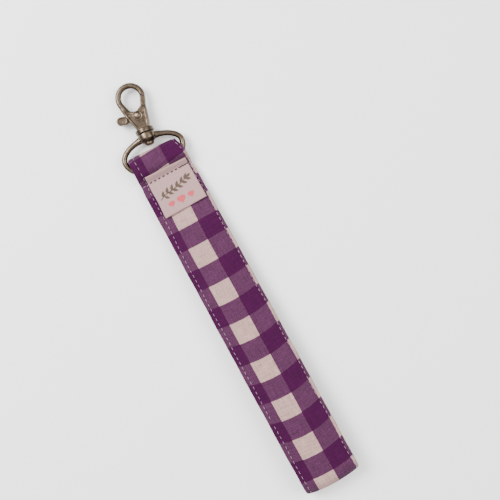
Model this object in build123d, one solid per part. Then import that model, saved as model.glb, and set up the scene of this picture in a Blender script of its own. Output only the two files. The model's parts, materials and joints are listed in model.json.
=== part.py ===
from build123d import *
import os
from math import cos, radians, sin, tan

# Wristlet keychain lying on its back: +Z is the label side, +Y runs along the strap towards the hook.
# The origin is under the middle of the whole object, on the surface it lies on. Sizes are millimetres.

# Placing
SEAM_Y = 55.4  # cross seam's place along Y, so that the origin is at the object's middle
CLASP_X = -0.5  # middle of the ring's bar
CLASP_Y = SEAM_Y + 5.8
CLASP_Z = 3.9
CLASP_LEAN = 5.2  # degrees that the hanging clasp leans towards +X

# Strap: one folded cotton band round an interfacing core, bent into a loop
STRAP_WIDTH = 25.4
STRAP_THICK = 1.8
CORE_WIDTH = 23.2
CORE_THICK = 0.8
CORE_SLACK = 0.04
LOOP_LENGTH = 155.1  # from the cross seam to the far fold
LOOP_HEIGHT = 11.0  # outside of the far fold
POCKET_LENGTH = 13.6  # from the cross seam to the top fold, round the ring's bar
POCKET_HEIGHT = 7.6
SEAM_GAP = 0.1  # between the two legs where the cross seam pulls them together

# Stitching
STITCH_INSET = 1.35  # topstitch rows, in from the strap's edges
THREAD_WIDTH = 0.40
THREAD_DEPTH = 0.16
GROOVE_WIDTH = 0.50
GROOVE_DEPTH = 0.20
CROSS_SEAM_OFFSET = 0.25
CROSS_SEAM_LENGTH = 24.6

# Fold lines of the loop
FOLD_SLOT = 0.2
FRONT_FOLD = -0.6  # front leg's fold under the label, from the seam
BACK_FOLD = -75.6  # back leg's fold, from the seam
BACK_TOP = STRAP_THICK
FRONT_TOP = 2 * STRAP_THICK + SEAM_GAP

# Label: a strip of cotton tape folded double
LABEL_WIDTH = 20.2
LABEL_X = 0.95
LABEL_THICK = 0.75
LABEL_END = -17.1
LABEL_FOLD = -1.0
HEM_START = 0.55
HEM_END = 3.0
LABEL_LIFT_OFF = 0.12

# Ring with its hub, one casting
WIRE_R = 1.25
RING_HALF = 13.7
RING_CORNER = 6.2
RING_TOP = 13.05
HUB_R = 3.8
HUB_BASE = 11.0
HUB_TOP = 14.9
HUB_RECESS = 12.1
HUB_RECESS_R = 2.6
HUB_BORE_R = 1.65
SWING_ROOM = 0.4  # kept free round the ring as it swings in the pocket

# Swivel rivet
RIVET_SHAFT_R = 1.6
RIVET_HEAD_R = 2.15
RIVET_HEAD_LOW = 9.4
RIVET_HEAD_TOP = 11.95
RIVET_TOP = 18.4

# Hook
COLLAR_R = 3.9
COLLAR_BASE = 15.1
COLLAR_TOP = 17.1
HOOK_THICK = 5.2
EYE_THICK = 3.0
EYE_CENTRE = 32.0
EYE_OUTER_R = 6.7
EYE_INNER_R = 4.2
EYE_INNER_DROP = 6.6
SHANK_HALF = 3.1
SLOT_THICK = 2.8
SLOT_BASE = 19.2
SLOT_SHOULDER = 25.8
CHEEK_TOP = 26.9
TIP_CUT = 31.2

# Gate lever, its rivet and its spring
PIVOT_V = 23.3
GATE_THICK = 2.4
GATE_HUB_R = 2.3
GATE_HUB_THICK = 1.2
GATE_CLEAR = 0.15
GATE_TIP_R = 9.4  # from the pivot, so that the bar's end turns past the hook's tip
GATE_BORE_R = 0.86
PIVOT_R = 0.80
PIVOT_HEAD_R = 1.5
PIVOT_HEAD_HIGH = 0.6
PIVOT_HEAD_SUNK = 0.35
TAB_U = -7.7
TAB_V = 23.9
TAB_R = 2.0
TAB_THICK = 3.2
TAB_RIM = 0.5
SPRING_WIRE_R = 0.16
SPRING_COIL_R = 1.3
SPRING_PITCH = 0.36
SPRING_TURNS = 2.25
SPRING_LEG = 2.2

os.makedirs("parts", exist_ok=True)

SEAM = Pos(0, SEAM_Y, 0)
CLASP = Pos(CLASP_X, CLASP_Y, CLASP_Z) * Rot(0, 0, -CLASP_LEAN)


def save(shape, node):
    """Write one sub-part's STEP file under its node name."""
    shape.label = node
    export_step(shape, f"parts/{node}.step")


def largest(shape):
    """The largest solid of a shape, without slivers that a cut leaves beside it."""
    return max(shape.solids(), key=lambda solid: solid.volume)


def box_between(low, high):
    """A box from its lowest to its highest corner."""
    size = [b - a for a, b in zip(low, high)]
    middle = [(a + b) / 2 for a, b in zip(low, high)]
    return Pos(*middle) * Box(*size)


# Strap. Its middle surface is one closed line in the YZ plane: y from the seam, z above the floor.


def strap_corners():
    """Corners of the band's closed middle line, and the radius of the bend at each."""
    half = STRAP_THICK / 2
    pinch = BACK_TOP + SEAM_GAP + half
    top = LOOP_HEIGHT - half
    fold_r = 0.499 * (top - half)
    pocket_top = POCKET_HEIGHT - half
    pocket_r = 0.499 * (pocket_top - half)
    far = -LOOP_LENGTH + half
    near = POCKET_LENGTH - half
    corners = [
        (-1.2, pinch, 14.0),
        (-40.0, 6.1, 200.0),
        (-82.0, 8.55, 400.0),
        (-122.0, top, 300.0),
        (far, top, fold_r),
        (far, half, fold_r),
        (near, half, pocket_r),
        (near, pocket_top, pocket_r),
        (5.6, pocket_top, 2.6),
        (1.2, pinch, 1.2),
    ]
    return [Vector(y, z) for y, z, _ in corners], [r for _, _, r in corners]


def strap_outline(out):
    """The band's middle line moved outwards by a distance, each bend keeping its centre."""
    corners, radii = strap_corners()
    moved = []
    bends = []
    for k, corner in enumerate(corners):
        before = (corner - corners[k - 1]).normalized()
        after = (corners[(k + 1) % len(corners)] - corner).normalized()
        turn = before.X * after.Y - before.Y * after.X
        mitre = Vector(before.Y + after.Y, -before.X - after.X) / (1 + before.dot(after))
        moved.append(corner + mitre * out)
        bends.append(radii[k] + (out if turn > 0 else -out))
    return make_face(FilletPolyline(*moved, radius=bends, close=True))


def strap_band(inner, outer, width, shift=0.0):
    """The band between two offsets from its middle line, over a width along X."""
    ring = strap_outline(outer) - strap_outline(inner)
    on_yz = Plane(origin=(shift - width / 2, SEAM_Y, 0), x_dir=(0, 1, 0), z_dir=(1, 0, 0))
    return extrude(on_yz * ring, amount=width)


def segment_boxes():
    """The spaces of the four stretches of the loop that hinge on each other."""
    slot = FOLD_SLOT / 2
    wide = STRAP_WIDTH
    tall = LOOP_HEIGHT + 5
    tip = LOOP_HEIGHT / 2
    front = FRONT_FOLD - slot
    middle = -LOOP_LENGTH + FRONT_FOLD - BACK_FOLD
    between = 1.0
    far = -LOOP_LENGTH - 5
    under = BACK_TOP + SEAM_GAP / 2
    base = box_between((-wide, BACK_FOLD + slot, -1), (wide, POCKET_LENGTH + 5, under))
    base += box_between((-wide, FRONT_FOLD + slot, under - 0.5), (wide, POCKET_LENGTH + 5, tall))
    return {
        "base": SEAM * base,
        "back_lower": SEAM * box_between((-wide, far, -1), (wide, BACK_FOLD - slot, tip - slot)),
        "front_lower": SEAM * box_between((-wide, far, tip + slot), (wide, middle - slot, tall)),
        "front_upper": SEAM * box_between((-wide, middle + slot, between + 0.9), (wide, front, tall)),
    }


def ring_room():
    """Space round the ring's bar, rounded corners and sides as the ring swings in the pocket."""
    side = RING_HALF - WIRE_R - SWING_ROOM
    corner = RING_HALF - RING_CORNER
    steps = 9
    outline = [(-side, 0), (side, 0)]
    for k in range(steps + 1):
        u = side - (side - corner) * k / steps
        drop = (RING_CORNER**2 - (u - corner) ** 2) ** 0.5
        wire_across = WIRE_R * RING_CORNER / drop
        outline.append((u, RING_CORNER - drop + wire_across + SWING_ROOM))
    outline += [(-u, v) for u, v in reversed(outline[2:])]
    flare = revolve(make_face(Polyline(*outline, close=True)), Axis.X, 360)
    keep = box_between((-20, -2.0, -20), (20, 20, 20))
    right = box_between((side - 0.3, -2.0, -20), (20, 20, 20))
    left = box_between((-20, -2.0, -20), (0.3 - side, 20, 20))
    corner = Polyline((side, 5.8), (side - 1.6, 8.5), (side - 1.6, 12), (20, 12), (20, 5.8), close=True)
    shoulder = extrude(Pos(0, 0, -20) * make_face(corner), amount=40)
    shoulders = shoulder + mirror(shoulder, Plane.YZ)
    return CLASP * ((flare & keep) + right + left + shoulders)


def stitch_rows(inner, outer, width):
    """Both topstitch rows, as strips between two offsets from the band's middle line."""
    row_x = STRAP_WIDTH / 2 - STITCH_INSET
    return [strap_band(inner, outer, width, side * row_x) for side in (-1, 1)]


def cross_strip(width, depth, rise):
    """The cross seam's two threads or their grooves: one on the front, one underneath."""
    y = CROSS_SEAM_OFFSET
    x = CROSS_SEAM_LENGTH / 2 + (width - THREAD_WIDTH) / 2
    low = box_between((-x, y - width / 2, -rise), (x, y + width / 2, depth))
    high = box_between((-x, y - width / 2, FRONT_TOP - depth), (x, y + width / 2, FRONT_TOP + rise))
    return SEAM * low, SEAM * high


def make_strap():
    """Cover, core and topstitch thread of each stretch of the loop, and the cross seam."""
    half = STRAP_THICK / 2
    core_half = CORE_THICK / 2
    cover = strap_band(-half, half, STRAP_WIDTH)
    cover -= strap_band(-core_half, core_half, CORE_WIDTH)
    past = 0.4 * SEAM_GAP
    for inner, outer in ((half - GROOVE_DEPTH, half + past), (-half - past, -half + GROOVE_DEPTH)):
        for row in stitch_rows(inner, outer, GROOVE_WIDTH):
            cover -= row
    slack = core_half - CORE_SLACK
    core = strap_band(-slack, slack, CORE_WIDTH - 2 * CORE_SLACK)
    margin = (GROOVE_DEPTH - THREAD_DEPTH) / 2
    threads = stitch_rows(half - GROOVE_DEPTH + margin, half - margin, THREAD_WIDTH)
    threads += stitch_rows(-half + margin, -half + GROOVE_DEPTH - margin, THREAD_WIDTH)
    room = ring_room()
    seam_groove = cross_strip(GROOVE_WIDTH, GROOVE_DEPTH + 0.06, 0.3)
    for name, space in segment_boxes().items():
        piece = cover & space
        filling = core & space
        rows = [strip for thread in threads for strip in (thread & space).solids()]
        if name == "base":
            piece = largest(piece - room)
            filling = largest(filling - room)
            rows = [strip for row in rows for strip in (row - room).solids()]
            for groove in seam_groove:
                piece -= groove
                rows = [strip for row in rows for strip in (row - groove).solids()]
        save(piece, f"strap_cover_{name}")
        save(filling, f"strap_core_{name}")
        save(Compound(children=rows), f"topstitch_{name}")
    low, high = cross_strip(THREAD_WIDTH, GROOVE_DEPTH, -0.04)
    save(Compound(children=[low, high]), "cross_seam_thread")


# Label


def front_height(y):
    """Height of the front leg's upper face near the seam, at y from the seam."""
    slope = (6.1 - (BACK_TOP + SEAM_GAP + STRAP_THICK / 2)) / 38.8
    return FRONT_TOP + max(0.0, -1.2 - y) * slope


def make_label():
    """The label's sewn top edge on the pocket, and its flap that lies loose on the front leg."""
    lift = LABEL_LIFT_OFF
    thick = LABEL_THICK
    start = (LABEL_FOLD, FRONT_TOP + lift)
    bend = (-6.0, front_height(-6.0) + lift + 0.10)
    end = (LABEL_END, front_height(LABEL_END) + lift)
    flap_face = Polyline(
        start, bend, end, (end[0], end[1] + thick), (bend[0], bend[1] + thick), (start[0], start[1] + thick),
        close=True,
    )
    on_yz = Plane(origin=(LABEL_X - LABEL_WIDTH / 2, SEAM_Y, 0), x_dir=(0, 1, 0), z_dir=(1, 0, 0))
    save(extrude(on_yz * make_face(flap_face), amount=LABEL_WIDTH), "label_flap")
    foot = FRONT_TOP + lift + 0.05
    crest = foot + (HEM_END - 0.9) * 0.89
    hem_face = Polyline(
        (HEM_START, foot), (0.9, foot + 0.08), (HEM_END, crest), (HEM_END - thick * 0.65, crest + thick),
        (HEM_START, foot + thick), close=True,
    )
    save(extrude(on_yz * make_face(hem_face), amount=LABEL_WIDTH), "label_hem")


# Clasp. It is drawn flat, with u to the right, v along the swivel axis from the ring's bar, and w up.


def slab(face, thick, middle=0.0):
    """A face in the clasp's plane, made thick about a height w."""
    return Pos(0, 0, middle - thick / 2) * extrude(face, amount=thick)


def turned(points):
    """A solid of revolution about the swivel axis, from (radius, v) points."""
    return revolve(make_face(Polyline(*points, close=True)), Axis.Y, 360)


def ring_path():
    """Middle line of the ring's wire: straight bar, round corners and an oval top."""
    corner = RING_HALF - RING_CORNER
    rise = RING_TOP - RING_CORNER
    bar = Line((-corner, 0), (corner, 0))
    right = CenterArc((corner, RING_CORNER), RING_CORNER, -90, 90)
    top = EllipticalCenterArc((0, RING_CORNER), RING_HALF, rise, 0, arc_size=180)
    left = CenterArc((-corner, RING_CORNER), RING_CORNER, 180, 90)
    return Wire([bar, right, top, left])


def make_ring():
    """Oval ring cast in one with the hub that the swivel rivet turns in."""
    path = ring_path()
    section = Plane(origin=path @ 0, z_dir=path % 0) * Circle(WIRE_R)
    wire = sweep(section, path=path)
    edge = 0.35
    hub = turned([
        (0, HUB_BASE), (HUB_RECESS_R + 0.5, HUB_BASE), (HUB_R, HUB_BASE + 1.3), (HUB_R, HUB_TOP - edge),
        (HUB_R - edge, HUB_TOP), (0, HUB_TOP),
    ])
    bore = turned([
        (0, HUB_BASE - 3), (HUB_RECESS_R, HUB_BASE - 3), (HUB_RECESS_R, HUB_RECESS), (HUB_BORE_R, HUB_RECESS),
        (HUB_BORE_R, HUB_TOP + 1), (0, HUB_TOP + 1),
    ])
    save(CLASP * (wire + hub - bore), "swivel_ring")


def make_swivel_rivet():
    """Rivet that holds the hook to the ring's hub and turns with the hook."""
    rivet = turned([
        (0, RIVET_HEAD_LOW), (RIVET_HEAD_R - 0.5, RIVET_HEAD_LOW), (RIVET_HEAD_R, RIVET_HEAD_LOW + 0.6),
        (RIVET_HEAD_R, RIVET_HEAD_TOP), (RIVET_SHAFT_R, RIVET_HEAD_TOP), (RIVET_SHAFT_R, RIVET_TOP),
        (0, RIVET_TOP),
    ])
    save(CLASP * rivet, "swivel_rivet")


def eye_outline():
    """Outer outline of the hook: a round eye on a tapering shank."""
    eye = Pos(0, EYE_CENTRE) * Circle(EYE_OUTER_R)
    foot = Pos(0, COLLAR_TOP) * Rectangle(2 * SHANK_HALF, 0.2)
    return make_hull(eye.edges() + foot.edges())


def eye_opening():
    """Inner outline of the eye: round above, drawn out to a narrow oval below."""
    upper = Pos(0, EYE_CENTRE) * Circle(EYE_INNER_R)
    lower = Pos(0, EYE_CENTRE) * Ellipse(EYE_INNER_R, EYE_INNER_DROP)
    below = Pos(0, EYE_CENTRE - 10) * Rectangle(30, 20)
    return upper + (lower & below)


def gate_space():
    """Where the gate closes the eye, right of the axis and below the slanting cut at the hook's tip."""
    return make_face(Polyline(
        (1.5, PIVOT_V - 8), (1.5, EYE_CENTRE), (4.2, TIP_CUT + 0.75), (6.9, TIP_CUT - 0.95), (9, TIP_CUT - 2.3),
        (9, PIVOT_V - 8), close=True,
    ))


def make_hook():
    """Hook body: collar, slotted shank with two cheeks, and the eye, open where the gate closes it."""
    outline = eye_outline()
    opening = eye_opening()
    wall = outline - opening
    above = Pos(0, CHEEK_TOP + 10) * Rectangle(30, 20)
    below = Pos(0, CHEEK_TOP - 10) * Rectangle(30, 20)
    shank = slab(wall & below, HOOK_THICK)
    eye = slab((wall & above) - gate_space(), EYE_THICK)
    shoulder = make_face(Polyline(
        (-9, SLOT_BASE), (9, SLOT_BASE), (9, CHEEK_TOP + 8), (-2.2, CHEEK_TOP + 8), (-2.2, SLOT_SHOULDER),
        (-9, SLOT_SHOULDER), close=True,
    ))
    body = shank - slab(shoulder & (outline + Pos(0, 20) * Rectangle(14, 4)), SLOT_THICK) + eye
    face_cut = 0.35
    panel = offset(outline & (Pos(0, 21.6) * Rectangle(30, 6.4)), amount=-1.0)
    body -= slab(panel, face_cut, HOOK_THICK / 2 - face_cut / 2)
    collar = turned([
        (0, COLLAR_BASE), (COLLAR_R - 0.4, COLLAR_BASE), (COLLAR_R, COLLAR_BASE + 0.4),
        (COLLAR_R, COLLAR_TOP - 0.4), (COLLAR_R - 0.4, COLLAR_TOP), (0, COLLAR_TOP),
    ])
    hole = turned([
        (0, COLLAR_BASE - 1), (RIVET_SHAFT_R, COLLAR_BASE - 1), (RIVET_SHAFT_R, RIVET_TOP), (0, RIVET_TOP),
    ])
    pin_hole = Pos(0, PIVOT_V, 0) * Cylinder(PIVOT_R, 3 * HOOK_THICK)
    pin_hole += Pos(0, PIVOT_V, HOOK_THICK / 2 - PIVOT_HEAD_SUNK / 2) * Cylinder(PIVOT_HEAD_R, PIVOT_HEAD_SUNK)
    save(CLASP * (body + collar - hole - pin_hole), "hook_body")


def make_gate():
    """Gate lever: the bar that closes the eye, its arm and hub in the slot, and the thumb tab."""
    wall = (eye_outline() - eye_opening()) & gate_space()
    bar_low = CHEEK_TOP - 1.2
    bar = wall & (Pos(5, bar_low + 10) * Rectangle(10, 20))
    tip_gap = Pos(0.1, -GATE_CLEAR)
    turning = Pos(0, PIVOT_V) * Circle(GATE_TIP_R)
    bar = (tip_gap * bar) & wall & turning
    arm = make_face(Polyline(
        (-0.4, PIVOT_V - 2.2), (5.5, 25.4), (5.6, 26.2), (3.4, 27.0), (0.4, PIVOT_V + 2.2), close=True,
    ))
    band = make_face(Polyline(
        (-0.6, PIVOT_V - 2.2), (TAB_U, TAB_V - TAB_R), (TAB_U, TAB_V - 0.6), (-4.6, PIVOT_V - 0.2),
        (0, PIVOT_V + 2.0), close=True,
    ))
    hub = Pos(0, PIVOT_V) * Circle(GATE_HUB_R)
    lever = slab(bar, GATE_THICK)
    outside = Pos(5, bar_low + 10) * Rectangle(10, 20)
    thin_w = SLOT_THICK / 2 - GATE_CLEAR - GATE_HUB_THICK / 2
    lever += slab(arm + band + hub, GATE_HUB_THICK, thin_w)
    lever += slab(arm & outside, GATE_THICK)
    tab = Pos(TAB_U, TAB_V) * Circle(TAB_R)
    dish = Pos(TAB_U, TAB_V) * Circle(TAB_R - TAB_RIM)
    lever += slab(tab, TAB_THICK)
    for side in (-1, 1):
        lever -= slab(dish, 0.8, side * (TAB_THICK / 2))
    lever -= Pos(0, PIVOT_V, 0) * Cylinder(GATE_BORE_R, 3 * HOOK_THICK)
    save(CLASP * lever, "gate_lever")


def make_pivot_rivet():
    """Rivet through both cheeks that the gate lever turns on, with a domed head on the front."""
    half = HOOK_THICK / 2
    dome_r = (PIVOT_HEAD_R**2 + PIVOT_HEAD_HIGH**2) / (2 * PIVOT_HEAD_HIGH)
    dome = Pos(0, 0, half + PIVOT_HEAD_HIGH - dome_r) * Sphere(dome_r)
    dome &= Pos(0, 0, half + 1) * Cylinder(PIVOT_HEAD_R, 2)
    neck = Pos(0, 0, half - PIVOT_HEAD_SUNK / 2) * Cylinder(PIVOT_HEAD_R, PIVOT_HEAD_SUNK)
    shaft = Cylinder(PIVOT_R, 2 * half)
    save(CLASP * Pos(0, PIVOT_V, 0) * (shaft + neck + dome), "gate_rivet")


def make_spring():
    """Torsion spring round the gate's rivet, beside the lever's hub, with two straight legs."""
    start_w = -SLOT_THICK / 2 + GATE_CLEAR + SPRING_WIRE_R
    coil = Helix(pitch=SPRING_PITCH, height=SPRING_PITCH * SPRING_TURNS, radius=SPRING_COIL_R)
    section = Plane(origin=coil @ 0, z_dir=coil % 0) * Circle(SPRING_WIRE_R)
    body = sweep(section, path=coil)
    first = Plane(origin=coil @ 0, z_dir=-(coil % 0)) * Cylinder(
        SPRING_WIRE_R, SPRING_LEG, align=(Align.CENTER, Align.CENTER, Align.MIN))
    last = Plane(origin=coil @ 1, z_dir=coil % 1) * Cylinder(
        SPRING_WIRE_R, SPRING_LEG, align=(Align.CENTER, Align.CENTER, Align.MIN))
    spring = body + first + last
    save(CLASP * Pos(0, PIVOT_V, start_w) * spring, "gate_spring")


make_strap()
make_label()
make_ring()
make_swivel_rivet()
make_hook()
make_gate()
make_pivot_rivet()
make_spring()
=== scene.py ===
import json
import math
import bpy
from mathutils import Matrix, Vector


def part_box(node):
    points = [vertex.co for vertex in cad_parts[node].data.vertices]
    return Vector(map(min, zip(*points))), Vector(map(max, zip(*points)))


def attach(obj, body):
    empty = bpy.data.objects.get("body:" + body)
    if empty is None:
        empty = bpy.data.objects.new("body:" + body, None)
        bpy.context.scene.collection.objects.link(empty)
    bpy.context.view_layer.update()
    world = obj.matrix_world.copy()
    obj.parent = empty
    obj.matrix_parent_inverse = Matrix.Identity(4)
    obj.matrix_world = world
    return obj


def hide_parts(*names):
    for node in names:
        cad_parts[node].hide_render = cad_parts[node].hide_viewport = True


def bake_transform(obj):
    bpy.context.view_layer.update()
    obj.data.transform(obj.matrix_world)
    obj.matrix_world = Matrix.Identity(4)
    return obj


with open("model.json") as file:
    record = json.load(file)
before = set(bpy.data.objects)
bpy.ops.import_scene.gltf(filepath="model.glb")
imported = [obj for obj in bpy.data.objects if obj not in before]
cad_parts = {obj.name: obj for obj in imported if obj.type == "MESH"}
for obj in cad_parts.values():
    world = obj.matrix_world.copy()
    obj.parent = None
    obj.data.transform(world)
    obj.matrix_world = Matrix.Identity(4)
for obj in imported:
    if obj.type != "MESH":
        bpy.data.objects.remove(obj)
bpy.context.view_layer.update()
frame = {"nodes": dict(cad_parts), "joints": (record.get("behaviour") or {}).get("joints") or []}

import types

import bpy
import numpy as np
import openvdb

bl_info = {
    "name": "Wristlet keychain",
    "version": (1, 0, 0),
    "blender": (4, 5, 0),
    "location": "View3D > Sidebar > Wristlet",
    "description": "Builds a gingham wristlet keychain with a swivelling snap hook round its packed frame",
    "category": "Add Mesh",
}

MM = 0.001
JOINTS = {j["name"]: j for j in frame["joints"]}


# Places, in millimetres, from the frame


def joint_place(name):
    """A joint's place, in millimetres."""
    return np.array(JOINTS[name]["pos_m"]) / MM


def node_box(name):
    """A node's lowest and highest corners, in millimetres."""
    low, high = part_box(name)
    return np.array(low) / MM, np.array(high) / MM


SEAM_Y = float(np.mean([corner[1] for corner in node_box("cross_seam_thread")])) - 0.25
FAR_Y = node_box("strap_cover_front_lower")[0][1] - SEAM_Y
NEAR_Y = node_box("strap_cover_base")[1][1] - SEAM_Y
POCKET_HIGH = node_box("strap_cover_base")[1][2]
LOOP_HIGH = node_box("strap_cover_front_lower")[1][2]
CLASP_AT = joint_place("ring_swing")
CLASP_U = np.array(JOINTS["ring_swing"]["axis"])
CLASP_V = np.array(JOINTS["hook_swivel"]["axis"])
PIVOT_V = float((joint_place("gate_open") - CLASP_AT) @ CLASP_V)


# Sizes and colours that a user would change


def size(name, text, default):
    """A length property, its default given in millimetres."""
    return bpy.props.FloatProperty(
        name=name, description=text, default=default * MM, min=0.0, precision=5, unit="LENGTH")


def colour(name, text, default):
    """A linear colour property."""
    return bpy.props.FloatVectorProperty(
        name=name, description=text, default=default, subtype="COLOR", size=3, min=0.0, max=1.0)


def measures(group):
    """A group's values as they are used here: its lengths in millimetres, and the rest as they stand."""
    values = {}
    for key in group.__annotations__:
        value = getattr(group, key)
        values[key] = value / MM if group.bl_rna.properties[key].unit == "LENGTH" else value
    return types.SimpleNamespace(**values)


class WristletCloth(bpy.types.PropertyGroup):
    """Sizes and colours of the band, its thread and its label."""

    width: size("Width", "Width of the band", 25.4)
    thick: size("Thickness", "Thickness of one leg of the band", 1.8)
    check: size("Check", "Side of one gingham square", 9.53)
    yarn: size("Yarn", "Spacing of the yarns", 0.30)
    stitch_inset: size("Stitch inset", "Right topstitch row, in from the edge", 1.3)
    left_inset: size("Left stitch inset", "Left topstitch row, in from the edge, half way down", 1.9)
    stitch_pitch: size("Stitch pitch", "Length of one stitch and its gap", 2.45)
    thread: size("Thread", "Diameter of the thread", 0.23)
    label_thick: size("Label thickness", "Thickness of the folded label", 0.7)
    purple: colour("Purple", "Purple yarn over purple yarn", (0.034, 0.0014, 0.027))
    purple_top: colour("Purple, mixed", "Purple yarn over white yarn", (0.014, 0.0012, 0.012))
    white_top: colour("White, mixed", "White yarn over purple yarn", (0.100, 0.032, 0.078))
    cream: colour("White", "White yarn over white yarn", (0.335, 0.214, 0.195))
    thread_colour: colour("Thread", "Topstitch thread", (0.28, 0.19, 0.245))
    label_colour: colour("Label", "Cotton tape of the label", (0.302, 0.188, 0.183))
    brown_ink: colour("Brown", "Brown of the sprig", (0.060, 0.034, 0.018))
    pink_ink: colour("Pink", "Pink of the hearts", (0.47, 0.040, 0.060))


class WristletMetal(bpy.types.PropertyGroup):
    """Sizes and colours of the clasp."""

    wire: size("Wire", "Radius of the ring's wire", 1.25)
    grain: size("Casting grain", "Spacing of the points that the castings are worked out on", 0.11)
    dark: colour("Dark metal", "Antique finish in the hollows", (0.0155, 0.0105, 0.0073))
    bright: colour("Bright metal", "Antique finish where it is rubbed", (0.172, 0.128, 0.093))


class WristletStage(bpy.types.PropertyGroup):
    """Floor, light and camera."""

    height: size("Camera height", "Height of the camera above the floor", 380.0)
    field: size("Field", "Width that the camera sees at the clasp's height", 222.0)
    turn: bpy.props.FloatProperty(
        name="Turn", description="Turn of the camera about the vertical", default=math.radians(-28.7),
        subtype="ANGLE")
    floor: colour("Floor", "Colour of the floor", (0.93, 0.93, 0.93))


# Meshes


def finished(obj, body, slot, material, *nodes, bend=None):
    """Put a piece on its body with its material and hide the nodes that it stands for; given a bend, it is
    kept where it stands, its transform baked in. A bend is (other body, start, end). The slot is not used."""
    obj.data.materials.append(material)
    if bend:
        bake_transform(obj)
    else:
        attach(obj, body)
    if nodes:
        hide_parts(*nodes)
    return obj


def grid_faces(rows, columns, wrap_rows=False, wrap_columns=False):
    """Corner indices of the squares of a grid, in its own numbering and in that of its UVs, which have one
    more column where the grid wraps."""
    r = np.arange(rows if wrap_rows else rows - 1)[:, None]
    c = np.arange(columns if wrap_columns else columns - 1)[None, :]
    wide = columns + (1 if wrap_columns else 0)

    def corner(dr, dc):
        """The corner dr rows and dc columns on from each square's first one."""
        own = ((r + dr) % rows) * columns + (c + dc) % columns
        unwrapped = (r + dr) * wide + (c + dc)
        return own.ravel(), unwrapped.ravel()

    corners = [corner(0, 0), corner(0, 1), corner(1, 1), corner(1, 0)]
    return np.stack([a for a, _ in corners], 1), np.stack([b for _, b in corners], 1)


def lattice(points, wrap_rows=False, wrap_columns=False, uv=None, caps=False):
    """Points, faces and corner UVs of a surface given as a grid; caps close the first and last rows."""
    rows, columns = points.shape[:2]
    own, unwrapped = grid_faces(rows, columns, wrap_rows, wrap_columns)
    flat = points.reshape(-1, 3)
    corner_uv = None if uv is None else uv.reshape(-1, 2)[unwrapped]
    if caps:
        ends = np.array([points[0].mean(0), points[-1].mean(0)])
        around = np.arange(columns)
        after = (around + 1) % columns
        last = (rows - 1) * columns
        first_fan = np.stack([np.full(columns, len(flat)), after, around, around], 1)
        last_fan = np.stack([np.full(columns, len(flat) + 1), last + around, last + after, last + after], 1)
        flat = np.vstack([flat, ends])
        if uv is not None:
            fan_uv = np.zeros((2 * columns, 4, 2)) + uv.reshape(-1, 2)[0]
            corner_uv = np.vstack([corner_uv, fan_uv])
        own = np.vstack([own, first_fan, last_fan])
    return flat, own, corner_uv


def joined(parts):
    """Several (points, faces, corner UVs) as one, each part's faces counted on from the parts before it."""
    points, faces, uvs, base = [], [], [], 0
    for p, f, t in parts:
        points.append(p)
        faces.append(f + base)
        uvs.append(t)
        base += len(p)
    uv = None if uvs[0] is None else np.vstack(uvs)
    return np.vstack(points), np.vstack(faces), uv


def facing_out(part):
    """A closed (points, faces, corner UVs) with its faces turned outwards, judged by its volume's sign."""
    points, faces, uv = part
    centre = points.mean(0)
    a, b, c, d = (points[faces[:, k]] - centre for k in range(4))
    if (a * (np.cross(b, c) + np.cross(c, d))).sum() > 0:
        return part
    order = np.tile([3, 2, 1, 0], (len(faces), 1))
    order[faces[:, 2] == faces[:, 3]] = [0, 2, 1, 1]
    turned_uv = None if uv is None else uv[np.arange(len(faces))[:, None], order]
    return points, np.take_along_axis(faces, order, 1), turned_uv


def surface(name, parts, point_values=None, cut_ends=False):
    """One object from several grids. A fan's triangles carry a doubled corner, dropped here. Cut ends keep
    their rims crisp, so that two lengths of cloth that meet there shade as one."""
    points, faces, uv = joined(parts)
    keep = np.ones(faces.shape, bool)
    keep[:, 3] = faces[:, 2] != faces[:, 3]
    corners = keep.sum(1)
    mesh = bpy.data.meshes.new(name)
    mesh.vertices.add(len(points))
    mesh.vertices.foreach_set("co", (points * MM).astype(np.float32).ravel())
    mesh.loops.add(int(corners.sum()))
    mesh.loops.foreach_set("vertex_index", faces[keep].astype(np.int32))
    mesh.polygons.add(len(faces))
    mesh.polygons.foreach_set("loop_start", (np.cumsum(corners) - corners).astype(np.int32))
    mesh.polygons.foreach_set("use_smooth", np.ones(len(faces), bool))
    mesh.update(calc_edges=True)
    if uv is not None:
        mesh.uv_layers.new(name="cloth").data.foreach_set("uv", uv[keep].astype(np.float32).ravel())
    for title, values in (point_values or {}).items():
        mesh.attributes.new(title, "FLOAT", "POINT").data.foreach_set("value", values.astype(np.float32))
    if cut_ends:
        rim = np.zeros(len(points), bool)
        rim[faces[~keep[:, 3], 1:].ravel()] = True
        ends = np.empty(2 * len(mesh.edges), np.int32)
        mesh.edges.foreach_get("vertices", ends)
        sharp = rim[ends.reshape(-1, 2)].all(1)
        mesh.attributes.new("sharp_edge", "BOOLEAN", "EDGE").data.foreach_set("value", sharp)
    if mesh.validate():
        raise RuntimeError(name + " has a face that can't be kept")
    obj = bpy.data.objects.new(name, mesh)
    bpy.context.scene.collection.objects.link(obj)
    return obj


def smooth(low, high, x):
    """0 below low, 1 above high, and an S-shaped rise between."""
    t = np.clip((x - low) / (high - low), 0.0, 1.0)
    return t * t * (3 - 2 * t)


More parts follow.
